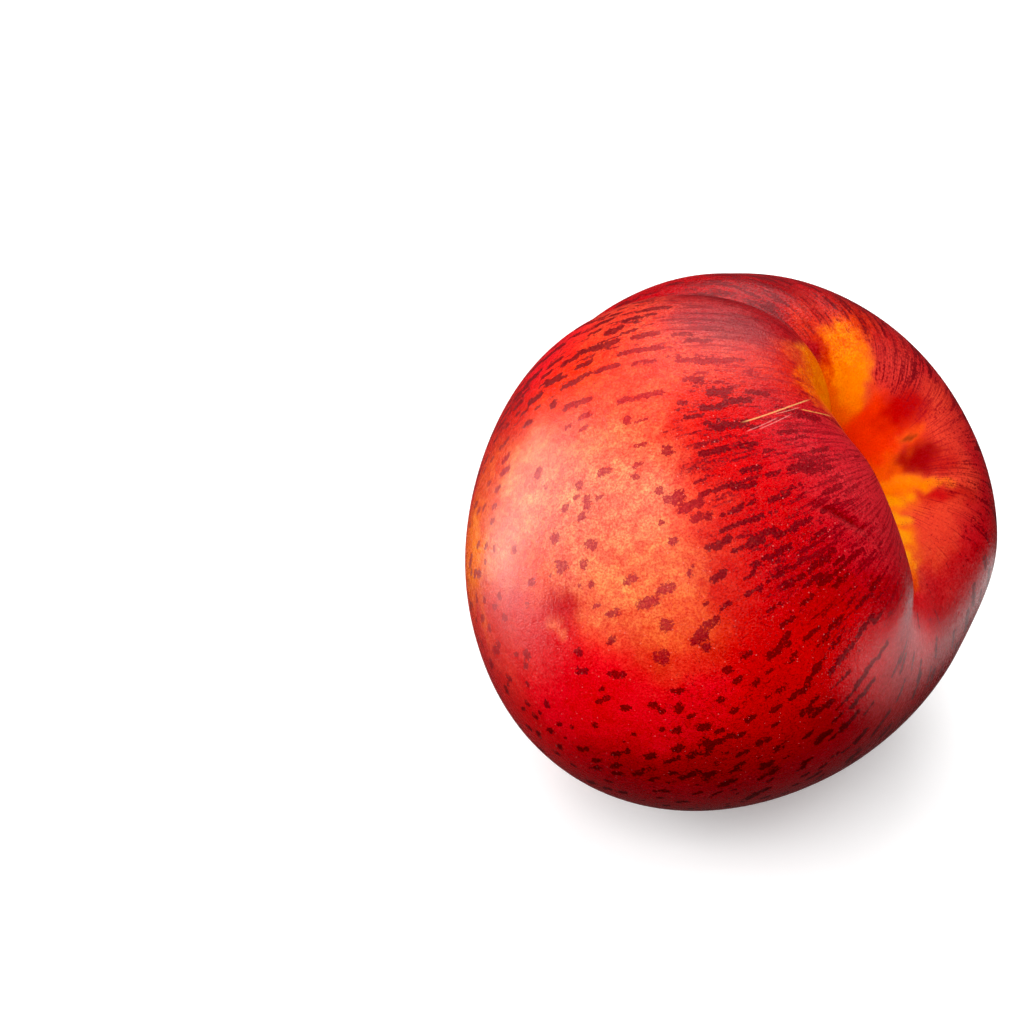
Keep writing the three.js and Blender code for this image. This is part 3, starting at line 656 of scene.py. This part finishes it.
(crease_from, crease_to), (crease_left, crease_right) = local_ends(CREASE_MIDDLE, *CREASE)
crease_run = (near_crease[1] - crease_left) / (crease_right - crease_left)
crease_middle = crease_from + (crease_to - crease_from) * crease_run
crease_ends = smooth_step(crease_run, 0, 0.5) * smooth_step(1 - crease_run, 0, 0.35)
crease_ends = crease_ends * (near_crease[2] < CREASE_WITHIN)
crease_field = bell(near_crease[0] - crease_middle, CREASE_WIDTH) * crease_ends
outward = points - CENTRE
outward /= np.linalg.norm(outward, axis=1)[:, None]
points = points - outward * (CREASE_DEPTH * crease_field)[:, None]
mesh.vertices.foreach_set("co", (points * MM).astype(np.float32).ravel())
mesh.update()

# ---------------------------------------------------------------- per-vertex values for the material


def keep_colour(name, values):
    layer = mesh.attributes.new(name, "FLOAT_COLOR", "POINT")
    rows = np.column_stack([values, np.ones(len(values))])
    layer.data.foreach_set("color", rows.astype(np.float32).ravel())


def keep_vector(name, first, second, third):
    layer = mesh.attributes.new(name, "FLOAT_VECTOR", "POINT")
    rows = np.column_stack([first, second, third])
    layer.data.foreach_set("vector", rows.astype(np.float32).ravel())


# the radius in mm of the cylinder that the skin is unrolled onto, for streaks along the meridians
GRAIN_RADIUS = 36
# the tilts in degrees where the hollow's floor starts and where it is full
FLOOR_STARTS, FLOOR_FULL = 36, 26
keep_colour("ground", ground)
keep_colour("spots", spots)
keep_vector("grain", GRAIN_RADIUS * np.cos(turn), GRAIN_RADIUS * np.sin(turn), GRAIN_RADIUS * tilt)
keep_vector("marks", freckle_field, streaks, lines)
hollow_floor = smooth_step(-tilt / DEG, -FLOOR_STARTS, -FLOOR_FULL)
keep_vector("finish", dots, freckles_wanted, hollow_floor)
keep_vector("cracks", *near_cracks)
keep_vector("ticks", *near_ticks)
# the crease's field, which also places its painted shade
keep_vector("creases", crease_field, np.zeros_like(dots), np.zeros_like(dots))

# ---------------------------------------------------------------- skin material

# noise scales: the features that fit in a metre
DRIFT_SCALE, MOTTLE_SCALE, SPECK_SCALE, FINE_SCALE = 190, 460, 1300, 3600
DUST_SCALE, RAGGED_SCALE, GRIT_SCALE, PALE_SCALE = 2900, 2700, 3900, 3100
CELL_SCALE, DOT_SCALE = 1900.0, 1500.0
# scales across and along the meridians, in features a millimetre
BROAD_STREAK, FINE_STREAK = (0.92, 0.92, 0.2), (1.7, 1.7, 0.17)
BUMP_FINE, BUMP_COARSE = 4200, 1150
BUMP_STRENGTH, BUMP_METRES = 0.7, 0.00012
SKIN_IOR = 1.32
# the roughness of clean skin, and what marks, the hollow's floor and scratches add to it
GLOSSIEST, DULLEST = 0.23, 0.31
DULL_MARKS, DULL_HOLLOW, DULL_SCRATCHES = 0.10, 0.25, 0.25

skin = bpy.data.materials.new("nectarine_skin")
skin.use_nodes = True
nodes, links = skin.node_tree.nodes, skin.node_tree.links


def put(kind, inputs, **settings):
    """A new node; an input is a number, a vector or another node's output."""
    node = nodes.new("ShaderNode" + kind)
    for name, value in settings.items():
        setattr(node, name, value)
    for socket, value in inputs.items():
        if isinstance(value, bpy.types.NodeSocket):
            links.new(value, node.inputs[socket])
        else:
            node.inputs[socket].default_value = value
    return node


def calc(operation, *values):
    """One sum, product or other Math node."""
    return put("Math", dict(enumerate(values)), operation=operation).outputs[0]


def fade(value, start, end, low=0.0, high=1.0):
    """From low to high, smoothly, as value goes from start to end."""
    inputs = {"Value": value, "From Min": start, "From Max": end, "To Min": low, "To Max": high}
    return put("MapRange", inputs, interpolation_type="SMOOTHSTEP").outputs["Result"]


def blend(amount, first, second, kind="MIX"):
    """The first colour where amount is 0, the second where it is 1."""
    node = put("Mix", {"Factor": amount}, data_type="RGBA", blend_type=kind)
    for socket, value in ((6, first), (7, second)):
        if isinstance(value, bpy.types.NodeSocket):
            links.new(value, node.inputs[socket])
        else:
            node.inputs[socket].default_value = (*value, 1)
    return node.outputs[2]


def noise(vector, scale, detail=2.0, roughness=0.5, distortion=0.0):
    inputs = {"Vector": vector, "Scale": scale, "Detail": detail, "Roughness": roughness}
    return put("TexNoise", {**inputs, "Distortion": distortion}).outputs["Fac"]


def scaled(vector, scale):
    return put("VectorMath", {0: vector, 1: scale}, operation="MULTIPLY").outputs[0]


def attribute(name):
    return put("Attribute", {}, attribute_name=name, attribute_type="GEOMETRY").outputs


def parts(vector):
    return put("SeparateXYZ", {0: vector}).outputs


place = put("TexCoord", {}).outputs["Object"]
grain = attribute("grain")["Vector"]
freckle, streak_amount, line_amount = parts(attribute("marks")["Vector"])
dot_amount, dust_amount, hollow = parts(attribute("finish")["Vector"])
ground_colour = attribute("ground")["Color"]
spot_colour = attribute("spots")["Color"]


def tinted(colour, tint):
    return blend(1.0, colour, tint, "MULTIPLY")


# the ground: broad drifts of hue, then a fine grain that is redder or yellower
speck = noise(place, SPECK_SCALE, 3, 0.75)
# noise, where it fades from low to high, and the tints of the low and the high places
SHADES = [
    (noise(place, DRIFT_SCALE, 3, 0.55), (0.35, 0.68), (0.95, 0.80, 0.86), (1.03, 1.12, 1.05)),
    (noise(place, MOTTLE_SCALE, 3, 0.6, 0.4), (0.36, 0.64), (0.97, 0.76, 0.84), (1.03, 1.22, 1.10)),
    (speck, (0.34, 0.66), (0.94, 0.74, 0.80), (1.04, 1.14, 1.08)),
    (noise(place, FINE_SCALE, 2, 0.6), (0.36, 0.64), (0.86, 0.58, 0.66), (1.08, 1.36, 1.28)),
]
colour = ground_colour
for shade, (start, end), low_tint, high_tint in SHADES:
    colour = blend(fade(shade, start, end), tinted(colour, low_tint), tinted(colour, high_tint))
colour = blend(calc("MULTIPLY", hollow, 0.75), colour, ground_colour)

# dust: tiny dark grains where the blush is strong
dust = noise(place, DUST_SCALE, 2, 0.7)
dust_edge = fade(calc("MAXIMUM", dust_amount, line_amount), 0.0, 1.0, 0.72, 0.53)
dust_mask = fade(calc("SUBTRACT", dust, dust_edge), 0.0, 0.09)
colour = blend(calc("MULTIPLY", dust_mask, 0.55), colour, spot_colour)

# streaks along the meridians, broad ones and fine ones
ragged = calc("SUBTRACT", noise(place, RAGGED_SCALE, 3, 0.7), 0.5)
broad = noise(scaled(grain, BROAD_STREAK), 1.0, 5, 0.66, 0.35)
broad = calc("ADD", broad, calc("MULTIPLY", ragged, 0.55))
broad_edge = fade(streak_amount, 0.0, 1.0, 0.73, 0.465)
broad_mask = fade(calc("SUBTRACT", broad, broad_edge), 0.0, 0.07)
broad_mask = calc("MULTIPLY", broad_mask, fade(streak_amount, 0.02, 0.25))
hair = noise(scaled(grain, FINE_STREAK), 1.0, 4, 0.65, 0.25)
hair = calc("ADD", hair, calc("MULTIPLY", ragged, 0.25))
hair_edge = fade(line_amount, 0.0, 1.0, 0.70, 0.47)
hair_mask = fade(calc("SUBTRACT", hair, hair_edge), 0.0, 0.16)
hair_mask = calc("MULTIPLY", hair_mask, fade(line_amount, 0.02, 0.3))

# freckles: ragged rosettes of little cells with a darker rim
cells = put("TexVoronoi", {"Vector": place, "Scale": CELL_SCALE}, feature="DISTANCE_TO_EDGE")
inside = calc("ADD", freckle, calc("MULTIPLY", ragged, 2.2))
inside = calc("ADD", inside, calc("MULTIPLY", calc("SUBTRACT", speck, 0.5), 0.9))
freckle_mask = fade(inside, 0.0, 0.22)
rim = calc("MULTIPLY", fade(inside, 0.0, 0.15), fade(inside, 0.18, 0.50, 1.0, 0.0))
walls = calc("MULTIPLY", fade(cells.outputs["Distance"], 0.02, 0.14, 1.0, 0.0), freckle_mask)

dark = tinted(spot_colour, (0.66, 0.55, 0.62))
grit = fade(noise(place, GRIT_SCALE, 2, 0.6), 0.36, 0.60, 0.74, 1.0)
marked = blend(calc("MULTIPLY", hair_mask, calc("MULTIPLY", grit, 0.80)), colour, spot_colour)
marked = blend(calc("MULTIPLY", broad_mask, calc("MULTIPLY", grit, 0.98)), marked, spot_colour)
filling = calc("MULTIPLY", freckle_mask, fade(dust_amount, 0.1, 0.5, 0.8, 0.97))
marked = blend(calc("MULTIPLY", filling, grit), marked, spot_colour)
marked = blend(calc("MULTIPLY", calc("MAXIMUM", rim, walls), 0.6), marked, dark)

# pale grains all over, then pale lenticels
grains = fade(noise(place, PALE_SCALE, 2, 0.65), 0.56, 0.71)
marked = blend(calc("MULTIPLY", grains, calc("MULTIPLY_ADD", dot_amount, 0.07, 0.02)), marked, SALMON)
dot_cells = put("TexVoronoi", {"Vector": place, "Scale": DOT_SCALE}).outputs
dot_luck = parts(dot_cells["Color"])[0]
dot_size = calc("MULTIPLY", fade(dot_amount, 0.0, 0.6), fade(dot_luck, 0.1, 1.0, 0.04, 0.15))
dot_mask = fade(calc("SUBTRACT", dot_size, dot_cells["Distance"]), -0.02, 0.06)
dot_strength = fade(dot_luck, 0.2, 1.0, 0.08, 0.5)
painted = blend(calc("MULTIPLY", dot_mask, dot_strength), marked, PALE_GRAIN)


def scratch(painted, local, frame_place, line):
    """A thin tan line between two places, bowed, ragged and fading at its ends."""
    start, end, bow, half_width, tone, strength = line
    (along_start, along_end), (across_start, across_end) = local_ends(frame_place, start, end)
    along, across, distance = local
    run = calc("DIVIDE", calc("SUBTRACT", along, along_start), along_end - along_start)
    middle = calc("MULTIPLY_ADD", run, across_end - across_start, across_start)
    arch = calc("MULTIPLY", calc("MULTIPLY", run, calc("SUBTRACT", 1.0, run)), 4 * bow)
    gap = calc("ABSOLUTE", calc("SUBTRACT", across, calc("ADD", middle, arch)))
    gap = calc("ADD", gap, calc("MULTIPLY", ragged, half_width * 1.6))
    cover = fade(gap, half_width * 0.4, half_width * 1.25, 1.0, 0.0)
    ends = calc("MULTIPLY", fade(run, 0.0, 0.12), fade(run, 0.85, 1.0, 1.0, 0.0))
    cover = calc("MULTIPLY", cover, ends)
    cover = calc("MULTIPLY", cover, fade(distance, 10.0, 11.0, strength, 0.0))
    return blend(cover, painted, tone), cover


scarred = 0.0
scratches = [("cracks", CRACKS_MIDDLE, CRACKS), ("ticks", TICKS_MIDDLE, TICKS)]
for local_name, middle_place, scar_lines in scratches:
    local = parts(attribute(local_name)["Vector"])
    for line in scar_lines:
        painted, cover = scratch(painted, local, middle_place, line)
        scarred = calc("MAXIMUM", scarred, cover)
# painted shade: the crease's groove is darkened towards a near-black red
crease_shade = parts(attribute("creases")["Vector"])[0]
painted = blend(calc("MULTIPLY", crease_shade, CREASE_SHADE), painted, CREASE_SHADE_COLOUR)

# gloss: duller on the marks, in the hollow and on the scratches; then a fine grain in the bump
covered = calc("MAXIMUM", freckle_mask, calc("MAXIMUM", broad_mask, hair_mask))
roughness = fade(speck, 0.3, 0.7, GLOSSIEST, DULLEST)
for mask, duller in ((covered, DULL_MARKS), (hollow, DULL_HOLLOW), (scarred, DULL_SCRATCHES)):
    roughness = calc("ADD", roughness, calc("MULTIPLY", mask, duller))
coarse_height = calc("MULTIPLY", noise(place, BUMP_COARSE, 2, 0.5), 0.7)
height = calc("ADD", noise(place, BUMP_FINE, 2, 0.6), coarse_height)
bump_inputs = {"Height": height, "Strength": BUMP_STRENGTH, "Distance": BUMP_METRES}
bump = put("Bump", bump_inputs).outputs["Normal"]

shader = nodes["Principled BSDF"]
links.new(painted, shader.inputs["Base Color"])
links.new(roughness, shader.inputs["Roughness"])
links.new(bump, shader.inputs["Normal"])
shader.inputs["IOR"].default_value = SKIN_IOR
mesh.materials.append(skin)

# ---------------------------------------------------------------- floor, lights, camera

# in metres; the floor is a hair below the fruit, so that the two never share a plane
FLOOR_HALF, FLOOR_DROP = 6, 0.0002
FLOOR_VALUES = {
    "Base Color": (0.9, 0.9, 0.9, 1),
    "Roughness": 0.9,
    "Specular IOR Level": 0.1,
    "Emission Color": (1, 1, 1, 1),
    "Emission Strength": 0.2,
}
corners = [(-1, -1), (1, -1), (1, 1), (-1, 1)]
floor_mesh = bpy.data.meshes.new("floor")
floor_points = [(x * FLOOR_HALF, y * FLOOR_HALF, -FLOOR_DROP) for x, y in corners]
floor_mesh.from_pydata(floor_points, [], [(0, 1, 2, 3)])
floor = bpy.data.objects.new("floor", floor_mesh)
bpy.context.collection.objects.link(floor)
floor_mat = bpy.data.materials.new("floor")
floor_mat.use_nodes = True
for socket, value in FLOOR_VALUES.items():
    floor_mat.node_tree.nodes["Principled BSDF"].inputs[socket].default_value = value
floor_mesh.materials.append(floor_mat)
floor.visible_diffuse = False
floor.visible_glossy = False

# where each box is from the fruit, how far, its size, its power, and whether it shows in reflections
BOXES = {
    "key": ((-0.1, -0.82, 0.56), 1.1, (1.0, 1.0), 12.5, False),
    "fill": ((0.45, -0.1, 0.9), 1.1, (1.0, 1.0), 5, False),
    "left fill": ((-0.7, -0.2, 0.68), 1.1, (1.0, 1.0), 5.5, False),
    "left box": ((-0.95, 0.30, 0.10), 0.8, (0.5, 0.66), 5.3, True),
    "back box": ((0.0, 0.62, 0.78), 0.9, (0.8, 0.58), 4.9, True),
    "right box": ((0.88, 0.25, 0.4), 0.9, (0.5, 0.7), 0.5, True),
}
# bright sheets that lie on the floor and show in reflections alone: middle, size, power
PANELS = {
    "left panel": ((-0.185, 0.005, 0.001), (0.15, 0.11), 0.24),
    "right panel": ((0.061, 0.0, 0.001), (0.022, 0.075), 0.008),
    "low panel": ((0.088, -0.052, 0.001), (0.016, 0.036), 0.02),
}
AIM = Vector(CENTRE * MM)


def area_light(name, middle, size, power):
    data = bpy.data.lights.new(name, "AREA")
    data.shape = "RECTANGLE"
    data.size, data.size_y = size
    data.energy = power
    light = bpy.data.objects.new(name, data)
    light.location = middle
    bpy.context.collection.objects.link(light)
    return light


for name, (direction, distance, size, power, reflected) in BOXES.items():
    box = area_light(name, AIM + Vector(direction).normalized() * distance, size, power)
    box.rotation_euler = (AIM - box.location).to_track_quat("-Z", "Y").to_euler()
    box.visible_glossy = reflected

for name, (middle, size, power) in PANELS.items():
    panel = area_light(name, middle, size, power)
    panel.rotation_euler = (np.pi, 0, 0)
    panel.visible_diffuse = False
    panel.visible_camera = False

WORLD_LIGHT = 0.08
world = bpy.data.worlds.new("studio")
world.use_nodes = True
world.node_tree.nodes["Background"].inputs["Color"].default_value = (1, 1, 1, 1)
world.node_tree.nodes["Background"].inputs["Strength"].default_value = WORLD_LIGHT
bpy.context.scene.world = world

# the camera looks down at 35 degrees, and its framing is the photograph's
CAMERA_PLACE = (-0.02982, -0.53027, 0.41083)
CAMERA_TILT = 55 * DEG
LENS_MM, SENSOR_MM = 169.5, 36
FAR_CLIP = 20

cam_data = bpy.data.cameras.new("camera")
cam_data.sensor_width = SENSOR_MM
cam_data.lens = LENS_MM
cam_data.clip_end = FAR_CLIP
camera = bpy.data.objects.new("camera", cam_data)
camera.location = CAMERA_PLACE
camera.rotation_euler = (CAMERA_TILT, 0, 0)
bpy.context.collection.objects.link(camera)
bpy.context.scene.camera = camera

# the black level takes off the thin veil that the wide soft light leaves in the darkest reds
BLACK_LEVEL = 0.008
view = bpy.context.scene.view_settings
view.view_transform = "Standard"
view.use_curve_mapping = True
view.curve_mapping.black_level = (BLACK_LEVEL, BLACK_LEVEL, BLACK_LEVEL)
